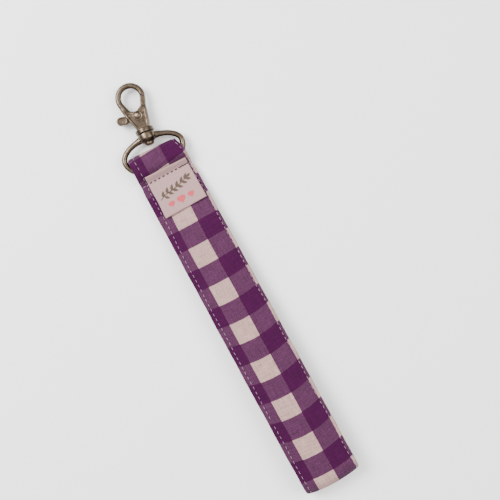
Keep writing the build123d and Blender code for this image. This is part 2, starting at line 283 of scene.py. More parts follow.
def tubes(starts, ends, lift, radius, normals, sides=6, steps=5):
    """Many short threads at once: each runs from its start to its end, arched out along its normal by lift,
    thick in the middle and drawn thin at its holes. Returns (points, faces, corner UVs)."""
    t = np.linspace(0, 1, steps)
    arch = np.sin(np.pi * t)
    along = ends - starts
    length = np.linalg.norm(along, axis=1, keepdims=True)
    tangent = along / length
    side = np.cross(tangent, normals)
    risen = normals[:, None] * ((arch ** 0.6) * lift)[:, None]
    middle = starts[:, None] + along[:, None] * t[:, None] + risen
    angle = np.linspace(0, 2 * np.pi, sides, endpoint=False)
    thick = radius * (0.35 + 0.65 * np.sqrt(np.clip(arch, 0, 1)))
    ring = np.cos(angle)[:, None] * side[:, None, None] + np.sin(angle)[:, None] * normals[:, None, None]
    points = middle[:, :, None] + ring * thick[:, None, None]
    own, unwrapped = grid_faces(steps, sides, False, True)
    per = steps * sides
    count = len(starts)
    faces = (own[None] + per * np.arange(count)[:, None, None]).reshape(-1, 4)
    u, v = np.meshgrid(np.linspace(0, 1, sides + 1), t * 2.0, indexing="xy")
    uv = np.stack([u, v], -1).reshape(-1, 2)[unwrapped]
    ends_at = np.concatenate([middle[:, 0], middle[:, -1]])
    around = np.arange(sides)
    after = (around + 1) % sides
    base = per * np.arange(count)[:, None]
    hub = count * per + np.arange(count)[:, None]
    first = np.stack(np.broadcast_arrays(hub, base + after, base + around, base + around), -1)
    tip = per - sides
    last = np.stack(np.broadcast_arrays(
        hub + count, base + tip + around, base + tip + after, base + tip + after), -1)
    fans = np.concatenate([first.reshape(-1, 4), last.reshape(-1, 4)])
    all_points = np.vstack([points.reshape(-1, 3), ends_at])
    all_uv = np.vstack([np.tile(uv, (count, 1, 1)), np.zeros((len(fans), 4, 2))])
    return all_points, np.vstack([faces, fans]), all_uv


# Node materials


class Nodes:
    """A material's nodes, made with short calls."""

    def __init__(self, name):
        """A new material and its shader."""
        self.material = bpy.data.materials.new(name)
        self.material.use_nodes = True
        self.tree = self.material.node_tree
        self.shader = self.tree.nodes["Principled BSDF"]

    def node(self, kind, **values):
        """A new node with these settings."""
        made = self.tree.nodes.new(kind)
        for key, value in values.items():
            setattr(made, key, value)
        return made

    def link(self, value, socket):
        """Feed a socket from another node, or set it to a constant."""
        if isinstance(value, bpy.types.NodeSocket):
            self.tree.links.new(value, socket)
        else:
            socket.default_value = value

    def math(self, operation, *values, clamp=False):
        """One step of arithmetic on the values."""
        made = self.node("ShaderNodeMath", operation=operation, use_clamp=clamp)
        for value, socket in zip(values, made.inputs):
            self.link(value, socket)
        return made.outputs[0]

    def mix(self, factor, a, b):
        """Colour a at factor 0, colour b at 1."""
        made = self.node("ShaderNodeMix", data_type="RGBA")
        self.link(factor, made.inputs[0])
        for value, socket in ((a, made.inputs[6]), (b, made.inputs[7])):
            self.link(value if isinstance(value, bpy.types.NodeSocket) else (*value, 1.0), socket)
        return made.outputs[2]

    def noise(self, vector, scale, detail=2.0, rough=0.5):
        """Fractal noise about 0.5, worked out at the vector times scale."""
        made = self.node("ShaderNodeTexNoise")
        self.link(vector, made.inputs["Vector"])
        made.inputs["Scale"].default_value = scale
        made.inputs["Detail"].default_value = detail
        made.inputs["Roughness"].default_value = rough
        return made.outputs[0]

    def spread(self, value, low, high, to_low=0.0, to_high=1.0):
        """The range from low to high laid evenly on a new range, and held at its ends."""
        made = self.node("ShaderNodeMapRange")
        for item, socket in zip((value, low, high, to_low, to_high), made.inputs):
            self.link(item, socket)
        return made.outputs[0]

    def stretched(self, vector, scale):
        """A vector times a scale for each axis."""
        made = self.node("ShaderNodeMapping")
        self.link(vector, made.inputs["Vector"])
        made.inputs["Scale"].default_value = scale
        return made.outputs[0]

    def bump(self, height, strength, distance):
        """Shade the surface by a height, its distance in metres."""
        made = self.node("ShaderNodeBump")
        made.inputs["Strength"].default_value = strength
        made.inputs["Distance"].default_value = distance
        self.link(height, made.inputs["Height"])
        self.link(made.outputs[0], self.shader.inputs["Normal"])

    def cloth_uv(self):
        """The piece's own UV map, and its u and v apart."""
        made = self.node("ShaderNodeUVMap", uv_map="cloth")
        parts = self.node("ShaderNodeSeparateXYZ")
        self.link(made.outputs[0], parts.inputs[0])
        return made.outputs[0], parts.outputs[0], parts.outputs[1]

    def weave(self, u, v, yarn):
        """Plain weave from the product of two sines, one across and one along: 1 where it is up and the
        lengthwise yarn shows, 0 where it is down and the crosswise one does, and its size as the height."""
        across = self.math("MULTIPLY", u, math.pi / yarn)
        along = self.math("MULTIPLY", v, math.pi / yarn)
        wave = self.math("MULTIPLY", self.math("SINE", across), self.math("SINE", along))
        on_top = self.spread(wave, -0.25, 0.25)
        height = self.math("ABSOLUTE", wave)
        return on_top, height

    def set(self, **values):
        """Feed the shader's sockets, named with _ for a space, and give the material."""
        for key, value in values.items():
            self.link(value, self.shader.inputs[key.replace("_", " ")])
        return self.material


def gingham_material(cloth):
    """Gingham: stripes of purple and white yarn both ways, in a plain weave, with slubs and soft wear."""
    n = Nodes("gingham")
    uv, u, v = n.cloth_uv()
    wobble = n.math("MULTIPLY", n.math("SUBTRACT", n.noise(uv, 0.35), 0.5), 0.25)
    period = 2 * cloth.check

    def stripe(coordinate):
        """0 in the first half of each period and 1 in the second, with soft edges."""
        place = n.math("FRACT", n.math("DIVIDE", n.math("ADD", coordinate, wobble), period))
        return n.math("SUBTRACT", n.spread(place, 0.494, 0.506), n.spread(place, 0.988, 1.0))

    warp, weft = stripe(u), stripe(v)
    on_top, height = n.weave(u, v, cloth.yarn)
    both = n.math("MULTIPLY", warp, weft)
    none = n.math("MULTIPLY", n.math("SUBTRACT", 1.0, warp), n.math("SUBTRACT", 1.0, weft))
    seen = n.math("ADD", n.math("MULTIPLY", on_top, warp),
                  n.math("MULTIPLY", n.math("SUBTRACT", 1.0, on_top), weft), clamp=True)
    mixed = n.mix(seen, cloth.white_top, cloth.purple_top)
    checked = n.mix(none, n.mix(both, mixed, cloth.purple), cloth.cream)
    slub = n.math("ADD", n.noise(n.stretched(uv, (1.9, 0.16, 1.0)), 1.0, 4.0, 0.65),
                  n.noise(n.stretched(uv, (0.16, 1.9, 1.0)), 1.0, 4.0, 0.65))
    fleck = n.math("ADD", slub, n.noise(uv, 1.7, 4.0, 0.75))
    tone = n.spread(fleck, 1.1, 1.9, 0.52, 1.48)
    shaded = n.node("ShaderNodeVectorMath", operation="SCALE")
    n.link(checked, shaded.inputs[0])
    n.link(tone, shaded.inputs["Scale"])
    relief = n.math("ADD", height, n.math("MULTIPLY", fleck, 0.5))
    n.bump(relief, 0.55, 0.0001)
    rough = n.spread(fleck, 1.0, 2.0, 0.72, 0.95)
    return n.set(Base_Color=shaded.outputs[0], Roughness=rough, Sheen_Weight=0.03, Sheen_Roughness=0.5,
                 Specular_IOR_Level=0.10)


def thread_material(name, base):
    """Twisted thread: slanting plies along its own UV, with painted shade in the grooves between them."""
    n = Nodes(name)
    _, u, v = n.cloth_uv()
    turns = n.math("ADD", n.math("MULTIPLY", u, 2.0), n.math("MULTIPLY", v, 3.0))
    twist = n.math("SINE", n.math("MULTIPLY", turns, 2 * math.pi))
    tone = n.spread(twist, -1.0, 1.0)
    # Painted shade: the darker colour where the twist's bump is low stands in for shade between the plies.
    dark = tuple(0.72 * x for x in base)
    n.bump(tone, 0.5, 0.00006)
    rough = n.spread(tone, 0.0, 1.0, 0.7, 0.55)
    return n.set(Base_Color=n.mix(tone, dark, tuple(base)), Roughness=rough, Sheen_Weight=0.2)


def tape_material(cloth):
    """Close cotton tape: a fine twill, a faint mottle, and painted shade in the needle holes from the hole
    attribute."""
    n = Nodes("label_tape")
    uv, u, v = n.cloth_uv()
    _, height = n.weave(u, v, 0.17)
    mottle = n.noise(uv, 1.6, 4.0, 0.65)
    dull, clean = (tuple(min(1.0, share * x) for x in cloth.label_colour) for share in (0.90, 1.07))
    tone = n.mix(n.spread(mottle, 0.3, 0.7), dull, clean)
    # Painted shade: the hole attribute darkens the needle holes to near black, in place of the shadow in
    # them.
    holes = n.node("ShaderNodeAttribute", attribute_name="hole")
    hole_shaded = n.mix(n.spread(holes.outputs["Fac"], 0.1, 0.6), tone, (0.022, 0.012, 0.020))
    n.bump(n.math("ADD", height, mottle), 0.30, 0.00006)
    rough = n.spread(mottle, 0.3, 0.7, 0.75, 0.9)
    return n.set(Base_Color=hole_shaded, Roughness=rough, Sheen_Weight=0.12, Specular_IOR_Level=0.3)


def ink_material(name, base):
    """Woven colour on the label: short floats of yarn, with small gaps."""
    n = Nodes(name)
    uv, u, v = n.cloth_uv()
    on_top, height = n.weave(u, v, 0.2)
    mottle = n.noise(uv, 4.0, 3.0, 0.6)
    dull, strong = (tuple(min(1.0, share * x) for x in base) for share in (0.7, 1.35))
    shade = n.mix(n.math("MULTIPLY", n.spread(mottle, 0.35, 0.65), 0.6), dull, strong)
    n.bump(height, 0.3, 0.00005)
    return n.set(Base_Color=shade, Roughness=n.spread(on_top, 0.0, 1.0, 0.65, 0.85), Sheen_Weight=0.1)


def core_material():
    """Non-woven interfacing: matted fibres."""
    n = Nodes("interfacing")
    at = n.node("ShaderNodeTexCoord").outputs["Object"]
    mat = n.noise(at, 2500.0, 4.0, 0.7)
    n.bump(mat, 0.4, 0.0001)
    fibre = n.mix(mat, (0.62, 0.60, 0.56), (0.80, 0.79, 0.75))
    return n.set(Base_Color=fibre, Roughness=n.spread(mat, 0.3, 0.7, 0.8, 0.95))


def metal_material(metal, name, polish):
    """Antique plating: brown in the hollows and rubbed bright where the surface stands out, by a sum of
    soft clouds, the mesh's pointiness and fine scratches. The same clouds and a fine grain set the
    roughness."""
    n = Nodes(name)
    at = n.node("ShaderNodeTexCoord").outputs["Object"]
    cloud = n.noise(at, 900.0, 4.0, 0.6)
    grain = n.noise(at, 3600.0, 3.0, 0.6)
    scratch = n.noise(n.stretched(at, (2200.0, 9000.0, 4000.0)), 1.0, 2.0)
    edge = n.spread(n.node("ShaderNodeNewGeometry").outputs["Pointiness"], 0.49, 0.56)
    clouds = n.math("MULTIPLY", n.spread(cloud, 0.3, 0.7), 0.45)
    rubbed = n.math("ADD", clouds, n.math("MULTIPLY", edge, 0.8))
    worn = n.math("ADD", rubbed, n.math("MULTIPLY", n.math("SUBTRACT", scratch, 0.5), 0.16), clamp=True)
    tone = n.mix(worn, metal.dark, metal.bright)
    patchy = n.math("ADD", n.spread(cloud, 0.3, 0.7, 0.30 - polish, 0.20 - polish),
                    n.math("MULTIPLY", grain, 0.12))
    n.bump(n.math("ADD", n.math("MULTIPLY", grain, 0.6), n.math("MULTIPLY", scratch, 0.4)), 0.12, 0.00006)
    return n.set(Base_Color=tone, Roughness=patchy, Metallic=1.0)


# Band

SEAM_GAP = 0.1  # between the two legs where the cross seam pulls them together
CORE_INSET = 1.1  # of the core, in from the cover's edges
CORE_HALF = 0.4  # half of the core's thickness
COLUMN_SHIFT = 6.95  # of the checks, from the left edge's middle
FRONT_ROW_Y = -72.16  # where a row of checks ends on the front leg, from the seam
POCKET_ROW_BACK = 5.7  # where one ends on the pocket's front, back from the line's end
SEAM_PITCH = 2.1  # of the cross seam and of the label's stitching


class Loop:
    """The band's closed middle line: straight sides with round bends, measured along from where the front
    leg leaves the seam. The line lies in the YZ plane, y from the seam, in millimetres."""

    def __init__(self, thick):
        """Each bend is an arc that touches the sides before and after its corner: it starts the radius
        times the tangent of half the turn before the corner."""
        half = thick / 2
        pinch = thick + SEAM_GAP + half
        top, pocket = LOOP_HIGH - half, POCKET_HIGH - half
        far, near = FAR_Y + half, NEAR_Y - half
        tip_r, pocket_r = 0.499 * (top - half), 0.499 * (pocket - half)
        bends = [
            (-1.2, pinch, 14.0), (-40.0, 6.1, 200.0), (-82.0, 8.55, 400.0), (-122.0, top, 300.0),
            (far, top, tip_r), (far, half, tip_r), (near, half, pocket_r), (near, pocket, pocket_r),
            (5.6, pocket, 2.6), (1.2, pinch, 1.2)]
        corners = np.array([(y, z) for y, z, _ in bends])
        dense = []
        for k, (_, _, radius) in enumerate(bends):
            before = corners[k] - corners[k - 1]
            after = corners[(k + 1) % len(corners)] - corners[k]
            before, after = before / np.linalg.norm(before), after / np.linalg.norm(after)
            turn = before[0] * after[1] - before[1] * after[0]
            sweep = math.acos(np.clip(before @ after, -1, 1))
            reach = radius * math.tan(sweep / 2)
            sign = math.copysign(1.0, turn)
            centre = corners[k] - before * reach + sign * radius * np.array([-before[1], before[0]])
            angle = np.linspace(0, sweep, 24)[:, None] * sign
            arm = corners[k] - before * reach - centre
            dense.append(centre + np.hstack([arm[0] * np.cos(angle) - arm[1] * np.sin(angle),
                                             arm[0] * np.sin(angle) + arm[1] * np.cos(angle)]))
        line = np.vstack(dense)
        line = np.vstack([line, line[:1]])
        steps = np.linalg.norm(np.diff(line, axis=0), axis=1)
        keep = np.concatenate([[True], steps > 1e-6])
        self.line = line[keep]
        self.at = np.concatenate([[0], np.cumsum(np.linalg.norm(np.diff(self.line, axis=0), axis=1))])
        self.length = self.at[-1]

    def point(self, s):
        """Point and outward normal at distance s along the line, the normal square to the step between the
        points just before and after."""
        y, z = (np.interp(s, self.at, self.line[:, k]) for k in (0, 1))
        step = 0.25
        dy = np.interp(s + step, self.at, self.line[:, 0]) - np.interp(s - step, self.at, self.line[:, 0])
        dz = np.interp(s + step, self.at, self.line[:, 1]) - np.interp(s - step, self.at, self.line[:, 1])
        long = np.hypot(dy, dz)
        return y, z, dz / long, -dy / long

    def where(self, y, back=False):
        """Distance along the line where it passes y on the front, or on the back."""
        tip = self.at[np.argmin(self.line[:, 0])]
        low, high = (tip, self.at[np.argmax(self.line[:, 0])]) if back else (0.0, tip)
        inside = (self.at >= low) & (self.at <= high)
        ys, at = self.line[inside, 0], self.at[inside]
        order = np.argsort(ys)
        return float(np.interp(y, ys[order], at[order]))


class Band:
    """The band's shape: across it, x and the distance h out of its middle line; along it, s."""

    def __init__(self, cloth):
        """The far fold's tip and the pocket's top are found on the middle line."""
        self.cloth = cloth
        self.loop = Loop(cloth.thick)
        self.tip = self.loop.where(FAR_Y)
        self.top = float(self.loop.at[np.argmax(self.loop.line[:, 0])])

    def edges(self, y):
        """Left and right edges of the band at y: half the width each side, with two small waves, drawn in
        by a bell curve at the seam, by S-curves where the ring hugs the band, and let out towards the far
        fold."""
        base = self.cloth.width / 2
        ripple = 0.10 * np.sin(y * 0.21 + 1.0) + 0.07 * np.sin(y * 0.47)
        pinch = 0.22 * np.exp(-((y / 1.6) ** 2))
        left = -base - 0.05 + pinch + 0.6 * smooth(0.0, 8.0, y) + 0.5 * ripple
        wide = 0.35 * smooth(-20.0, -110.0, y)
        right = base + 0.30 - pinch - 1.9 * smooth(5.5, 14.0, y) - 0.4 * ripple
        return left - 0.4 * wide, right + 0.4 * wide

    def rows(self, y):
        """Where the two topstitch rows run: the left one wanders in towards the seam and the fold."""
        left, right = self.edges(y)
        inset = self.cloth.left_inset + 0.85 * smooth(-55.0, -2.0, y)
        wander = 0.12 * np.sin(0.23 * y)
        return left + inset + wander, right - self.cloth.stitch_inset + wander

    def place(self, x, h, s):
        """Where a point of the band lies: on the middle line moved out by h, bowed where the cloth bows.
        The front leg's rows sag towards the far fold by up to 1.9 mm, its middle crowns up, and the top
        fold slants down to the right."""
        y, z, out_y, out_z = self.loop.point(s)
        across = np.clip(2 * x / self.cloth.width, -1.1, 1.1)
        front = 1 - smooth(self.tip + 5, self.tip + 70, s)
        sag = 1.9 * smooth(-8.0, -105.0, y) - 0.75 * smooth(-135.0, -155.0, y)
        bow = sag * across ** 2 * front
        slant = -0.62 * across * smooth(2.0, NEAR_Y, y) - 0.3 * across ** 2 * smooth(8.0, NEAR_Y, y)
        on_front = smooth(0.0, 14.0, self.tip - s) * smooth(-6.0, -30.0, y)
        crown = 0.75 * (1 - across ** 2) * on_front * smooth(FAR_Y, FAR_Y + 30, y)
        ripple = 0.10 * np.sin(0.33 * s + 2.1 * across) * np.sin(0.071 * s + 1.3) * on_front
        on_seam = (s < 100) | (s > self.top)
        crease = -0.22 * np.exp(-((y / 0.9) ** 2)) * on_seam
        shape = np.broadcast_arrays(x, y + h * out_y + bow + slant, z + h * out_z + crown + ripple + crease)
        points = np.stack(shape, -1)
        points[..., 1] += SEAM_Y
        return points

    def height(self, s, row_gap):
        """Half the band's thickness: full between the stitch rows, less a bell curve across each row that
        is deepest at its needle holes, where a cosine along the row peaks."""
        holes = 0.5 + 0.5 * np.cos(2 * np.pi * s / self.cloth.stitch_pitch)
        return self.cloth.thick / 2 - np.exp(-((row_gap / 0.55) ** 2)) * (0.10 + 0.14 * holes)


def band_piece(band, name, low, high, step=0.55):
    """One stretch of the cover: a closed cross-section carried along the middle line. It runs from the left
    edge's middle over the face, round the right edge and back underneath: two flat faces with a dip along
    each stitch row, and half circles for the turned-in edges. u is the distance round it, v the one along
    the cloth."""
    cloth = band.cloth
    s = np.linspace(low, high, max(8, int((high - low) / step)))[:, None]
    y = band.loop.point(s)[0]
    left, right = band.edges(y)
    face = np.linspace(0, 1, 60)
    face = face - 0.055 * np.sin(2 * np.pi * face)
    edge = np.linspace(0, np.pi, 9)[1:-1]
    round_r = cloth.thick / 2 * 0.80

    def across(t):
        """x at a share t of the flat face, from left to right."""
        return (left + round_r) + (right - left - 2 * round_r) * t

    x_face = across(face[None, :])
    row_left, row_right = band.rows(y)
    gap = np.minimum(np.abs(x_face - row_left), np.abs(x_face - row_right))
    rim = smooth(0.0, 0.9, np.minimum(x_face - left, right - x_face) - round_r)
    half = band.height(s, gap) * (0.80 + 0.20 * rim)
    x_right = across(1.0) + round_r * np.sin(edge)
    h_right = np.tile(round_r * np.cos(edge), (len(s), 1))
    x_left = across(0.0) - round_r * np.sin(edge)
    x = np.hstack([x_left[:, 3:], x_face, x_right, x_face[:, ::-1], x_left[:, :3]])
    h = np.hstack([-h_right[:, 3:], half, h_right, -half[:, ::-1], -h_right[:, :3]])
    points = band.place(x, h, s)
    walk = np.hypot(np.diff(x, axis=1, append=x[:, :1]), np.diff(h, axis=1, append=h[:, :1]))
    u = np.hstack([np.zeros_like(s), np.cumsum(walk, axis=1)])
    u += x_face[:, :1] - u[:, 4:5]
    v = cloth_row(band, np.hstack([x, x[:, :1]]), s)
    drift = 0.95 * smooth(-36.0, 0.0, y) * smooth(-10.5, -6.0, -u)
    uv = np.stack([u - drift + COLUMN_SHIFT, v], -1)
    return surface(name, [lattice(points, wrap_columns=True, uv=uv, caps=True)], cut_ends=True)


def squarish(wave):
    """A sine or cosine filled out towards a square wave: the fourth root of its size, with its sign."""
    return np.sign(wave) * np.abs(wave) ** 0.25


def core_piece(band, name, low, high):
    """One stretch of the interfacing inside the cover: a flat, filled-out oval carried along the middle
    line, inset from the cover's edges."""
    s = np.linspace(low, high, max(8, int(high - low)))[:, None]
    left, right = band.edges(band.loop.point(s)[0])
    turn = np.linspace(0, 2 * np.pi, 48, endpoint=False)[None, :]
    x = (left + right) / 2 + ((right - left) / 2 - CORE_INSET) * squarish(np.cos(turn))
    h = -CORE_HALF * squarish(np.sin(turn))
    points = band.place(x, h, s)
    return surface(name, [lattice(points[:, ::-1], wrap_columns=True, caps=True)], cut_ends=True)


def cloth_row(band, x, s):
    """Distance along the cloth, from a row's edge: true on the front leg, and eased on the back leg so that
    a row starts where the pocket's front shows one. The pocket's rows tilt, lower on the left."""
    anchor = band.loop.where(FRONT_ROW_Y)
    check = 2 * band.cloth.check
    wanted = (band.loop.length - POCKET_ROW_BACK - anchor) / check
    ease = (np.floor(wanted) + 1.0 - wanted) * check
    ease = ease - check if ease > check / 2 else ease
    tilt = 0.15 * x * smooth(band.top - 6, band.top + 3, s)
    peek = smooth(band.top - 8, band.top - 2, s) - smooth(band.top + 1, band.top + 7, s)
    return s - anchor + ease * smooth(band.tip + 8.0, band.top - 12.0, s) + tilt - peek


def stitch_row(band, low, high, outer, right):
    """Starts, ends and normals of the stitches of one row on one face of a stretch of the band: one to a
    pitch, less a gap at both ends. Each belongs to the stretch that it starts in."""
    cloth = band.cloth
    pitch = cloth.stitch_pitch
    first, last = math.ceil(low / pitch), math.floor((high - 0.01) / pitch)
    s0 = np.arange(first, last + 1) * pitch
    s0 = s0[(s0 + 0.9 * pitch > low) & (s0 + 0.1 * pitch >= low) & (s0 + 0.1 * pitch < high)]
    gap = 0.20 * pitch

    def at(s):
        """A needle hole's place and the cloth's normal there."""
        y = band.loop.point(s)[0]
        x = band.rows(y)[int(right)] + 0.05 * np.sin(1.7 * s)
        side = 1 if outer else -1
        h = side * (cloth.thick / 2 - 0.12)
        here = band.place(x, h, s)
        out = band.place(x, h + side * 0.1, s) - here
        return here, out / np.linalg.norm(out, axis=1, keepdims=True)

    start, normal = at(s0 + gap)
    end, _ = at(np.minimum(s0 + pitch - gap, band.loop.length))
    return start, end, normal


def stretches(band):
    """The band's five stretches: name, where each starts and ends along the line, its body, and its bend.
    The back leg's bend is given beyond its pivot only, so that it wouldn't sink under the floor; the bends
    are not applied here."""
    front, back = band.loop.where, lambda y: band.loop.where(y, True)
    (_, upper_y, upper_z), (_, tip_y, _), (_, lower_y, lower_z) = (
        joint_place(name) for name in ("loop_front", "loop_tip", "loop_open"))
    upper_start, upper_end = front(-40.0), front(-118.0)
    lower_start, lower_end = back(-112.0), back(-38.0)
    return [
        ("front_near", 0.0, upper_start, "front_upper", None),
        ("front_bend", upper_start, upper_end, "front_upper",
         ("front_lower", (0, upper_y + 17, upper_z), (0, upper_y - 17, upper_z))),
        ("far_fold", upper_end, lower_start, "back_lower",
         ("front_lower", (0, tip_y, 2.3), (0, tip_y, 8.2))),
        ("back_bend", lower_start, lower_end, "strap_base",
         ("back_lower", (0, lower_y + 2, lower_z), (0, lower_y - 32, lower_z))),
        ("head", lower_end, band.loop.length, "strap_base", None),
    ]


COVER_OF = {"front_near": "front_upper", "front_bend": "front_upper", "far_fold": "front_lower",
            "back_bend": "back_lower", "head": "base"}


def stitches(name, rows, lift, cloth):
    """One piece of the stitches of several rows, each given as starts, ends and normals."""
    starts, ends, normals = (np.concatenate([row[k] for row in rows]) for k in range(3))
    return surface(name, [tubes(starts, ends, lift, cloth.thread / 2, normals)])


class WRISTLET_OT_band(bpy.types.Operator):
    """Build the gingham cover and its interfacing core"""

    bl_idname = "wristlet.band"
    bl_label = "Band"

    def execute(self, context):
        cloth = measures(context.scene.wristlet_cloth)
        band = Band(cloth)
        gingham = gingham_material(cloth)
        fibre = core_material()
        for name, low, high, body, bend in stretches(band):
            piece = band_piece(band, "cover_" + name, low, high)
            finished(piece, body, "strap_cover", gingham, "strap_cover_" + COVER_OF[name], bend=bend)
            core = core_piece(band, "core_" + name, low, high)
            finished(core, body, "strap_core", fibre, "strap_core_" + COVER_OF[name], bend=bend)
        return {"FINISHED"}


class WRISTLET_OT_stitches(bpy.types.Operator):
    """Sew the topstitch rows and the cross seam, one thread stitch at a time"""

    bl_idname = "wristlet.stitches"
    bl_label = "Stitches"

    def execute(self, context):
        cloth = measures(context.scene.wristlet_cloth)
        band = Band(cloth)
        thread = thread_material("topstitch_thread", cloth.thread_colour)
        for name, low, high, body, bend in stretches(band):
            rows = [stitch_row(band, low, high, outer, right)
                    for outer in (True, False) for right in (False, True)]
            piece = stitches("topstitch_rows_" + name, rows, 0.13, cloth)
            finished(piece, body, "thread", thread, "topstitch_" + COVER_OF[name], bend=bend)
        self.cross_seam(cloth, thread)
        return {"FINISHED"}

    def cross_seam(self, cloth, thread):
        """The seam across the band: stitches on the front and underneath, end to end along X."""
        x, gap = np.arange(-12.2, 12.4, SEAM_PITCH), 0.2
        y = SEAM_Y + 0.05
        low, high = node_box("cross_seam_thread")
        rows = []
        for z, out in ((high[2] - 0.25, 1.0), (low[2] + 0.18, -1.0)):
            starts = np.stack(np.broadcast_arrays(x + gap, y, z), 1)
            ends = np.stack(np.broadcast_arrays(x + SEAM_PITCH - gap, y + 0.04 * np.sin(5 * x), z), 1)
            rows.append((starts, ends, np.tile([0.0, 0.0, out], (len(x), 1))))
        piece = stitches("cross_seam_stitches", rows, 0.10, cloth)
        finished(piece, "strap_base", "thread", thread, "cross_seam_thread")


# Label

LABEL_LEFT = -9.05
LABEL_WIDE = 20.2
LABEL_TOP = 3.0  # from the seam, as the next two are
LABEL_FOLD = -0.45
LABEL_LOW = -17.0
DOUBLE_STITCH_X = 6.3  # right of here the label's stitching is gone over twice


def label_sheet(band, t, y, side):
    """The label's lower face, raised by side: t runs from its left to its right edge, y down from the seam.
    It follows the band's upper face, its flap lies a little off it, and its corners lift by a cosine across
    it."""
    left = LABEL_LEFT - 0.12 * smooth(0, LABEL_LOW, y) + 0.10 * np.sin(0.5 * y)
    right = 11.1 + 0.22 * smooth(0, LABEL_LOW, y)
    x = left + (right - left) * t
    tilt = 0.030 * (t - 0.5) * 20
    down = np.where(y > 0, y - tilt * smooth(0, 3, y),
                    y + 0.012 * (t - 0.5) * 20 * smooth(0, LABEL_LOW, y))
    leg_y = np.linspace(-45, -0.6, 90)
    leg_z = np.array([band.place(0.0, band.cloth.thick / 2, band.loop.where(at))[2] for at in leg_y])
    slope = np.interp(down, [-0.6, 0.55, 0.9, 3.4], [3.72, 3.72, 3.86, 6.05])
    base = np.where(down > -0.6, slope, np.interp(down, leg_y, leg_z))
    curl = 0.35 * smooth(-9.0, LABEL_LOW, y) * (1.2 - 0.8 * np.cos(np.pi * (t - 0.5) * 2)) * 0.5
    lie = 0.10 + 0.22 * smooth(-1.5, -6.0, y) + curl
    wave = 0.08 * np.sin(7.0 * t + 0.4 * y) * smooth(-2.0, -6.0, y)
    return np.stack(np.broadcast_arrays(x, down + SEAM_Y, base + lie + wave + side), -1)


def label_part(band, name, y_low, y_high, sewn):
    """A slab of folded tape between two places down the label, thinned to nothing at its side edges by a
    square root. The sewn part has a rounded top, a puff above its seam, a dip along it, and needle holes
    pricked at each stitch, narrow flat-topped bells whose depth is also the hole attribute, which paints
    shade into the holes."""
    thick = band.cloth.label_thick
    y = np.linspace(y_high, y_low, int((y_high - y_low) / 0.16) + 2)[:, None]
    t = np.linspace(0, 1, 128)[None, :]
    from_side = np.minimum(t, 1 - t) * LABEL_WIDE
    from_end = np.sqrt(np.clip((y_high - y) / 0.45, 0, 1)) if sewn else smooth(0, 0.35, y - y_low)
    rim = np.sqrt(np.clip(from_side / 0.30, 0, 1)) * from_end
    seam_gap = np.abs(y - 0.12)
    puff = 0.18 * np.exp(-((y - 1.9) / 0.9) ** 2) - 0.25 * np.exp(-((seam_gap / 0.45) ** 2))
    x = LABEL_LEFT + LABEL_WIDE * t
    pitch = np.where(x > DOUBLE_STITCH_X, 1.15, SEAM_PITCH)
    beat = np.mod(x + 7.6 + pitch / 2, pitch) - pitch / 2
    # The pricks sink the needle holes, and the same mask paints shade into them.
    pricks = np.exp(-((beat / 0.56) ** 4) - ((y - 0.15 + 0.05 * np.sin(2.9 * x)) / 0.30) ** 4) * sewn
    top = label_sheet(band, t, y, thick * (0.5 + 0.5 * rim) + puff * rim - 0.16 * pricks)
    low = label_sheet(band, t, y, thick * (0.5 - 0.5 * rim))
    around = np.concatenate([top, low[:, ::-1]], axis=1)
    u = np.concatenate([x, x[:, ::-1] + 30, x[:, :1] + 60], axis=1)
    uv = np.stack(np.broadcast_arrays(u, y), -1)
    # Painted shade: the top face's pricks go to the hole attribute, which darkens the needle holes.
    dark = np.concatenate([pricks, np.zeros_like(pricks)], axis=1).ravel()
    cap_centres = np.zeros(2)
    return surface(name, [lattice(around, wrap_columns=True, uv=uv, caps=True)],
                   {"hole": np.concatenate([dark, cap_centres])})


def petal(outline, count_v=7):
    """A filled shape: straight steps from one edge curve to the other, each given as points from tip to
    tip."""
    upper, lower = outline
    v = np.linspace(0, 1, count_v)[None, :, None]
    return upper[:, None] * (1 - v) + lower[:, None] * v


def leaf(at, turn, length, width):
    """A leaf from its stalk at a point, turned from +X: two edges that swell by a sine and meet at the
    tip."""
    t = np.linspace(0, 1, 18)
    swell = width / 2 * np.sin(np.pi * t ** 0.8)
    c, s = math.cos(turn), math.sin(turn)
    edges = []
    for sign in (1, -1):
        x, y = length * t, sign * swell
        edges.append(np.stack([at[0] + c * x - s * y, at[1] + s * x + c * y], 1))
    return petal(edges)


def stalk(points, width):
    """A line through points, smoothed by a cubic, its width thinned towards both ends by a sine."""
    points, count = np.array(points, float), 60
    k = np.linspace(0, len(points) - 1, count)
    line = np.stack([catmull(points[:, 0], k), catmull(points[:, 1], k)], 1)
    step = np.gradient(line, axis=0)
    normal = np.stack([-step[:, 1], step[:, 0]], 1) / np.linalg.norm(step, axis=1, keepdims=True)
    taper = width / 2 * (0.5 + 0.5 * np.sin(np.pi * np.linspace(0.08, 0.92, count)))[:, None]
    return petal((line + normal * taper, line - normal * taper), count_v=3)


def catmull(values, k):
    """A smooth curve through values, at fractional places k: between two of them a cubic that leaves each
    with half the step between its neighbours."""
    padded = np.concatenate([[2 * values[0] - values[1]], values, [2 * values[-1] - values[-2]]])
    i = np.clip(np.floor(k).astype(int), 0, len(values) - 2)
    t = k - i
    a, b, c, d = (padded[i + j] for j in range(4))
    square, cube = 2 * a - 5 * b + 4 * c - d, 3 * b - a - 3 * c + d
    return 0.5 * (2 * b + (c - a) * t + square * t ** 2 + cube * t ** 3)


def heart(at, wide):
    """A heart, split into its two halves: x is 16 times a sine cubed, and y is 13 cosines less 5 of twice
    the angle, 2 of three times and 1 of four times."""
    t = np.linspace(0, np.pi, 26)
    x = 16 * np.sin(t) ** 3 / 32 * wide
    y = (13 * np.cos(t) - 5 * np.cos(2 * t) - 2 * np.cos(3 * t) - np.cos(4 * t)) / 32 * wide
    edges = [np.stack([at[0] + half, at[1] + y], 1) for half in (-x, x)]
    return petal(edges, count_v=13)


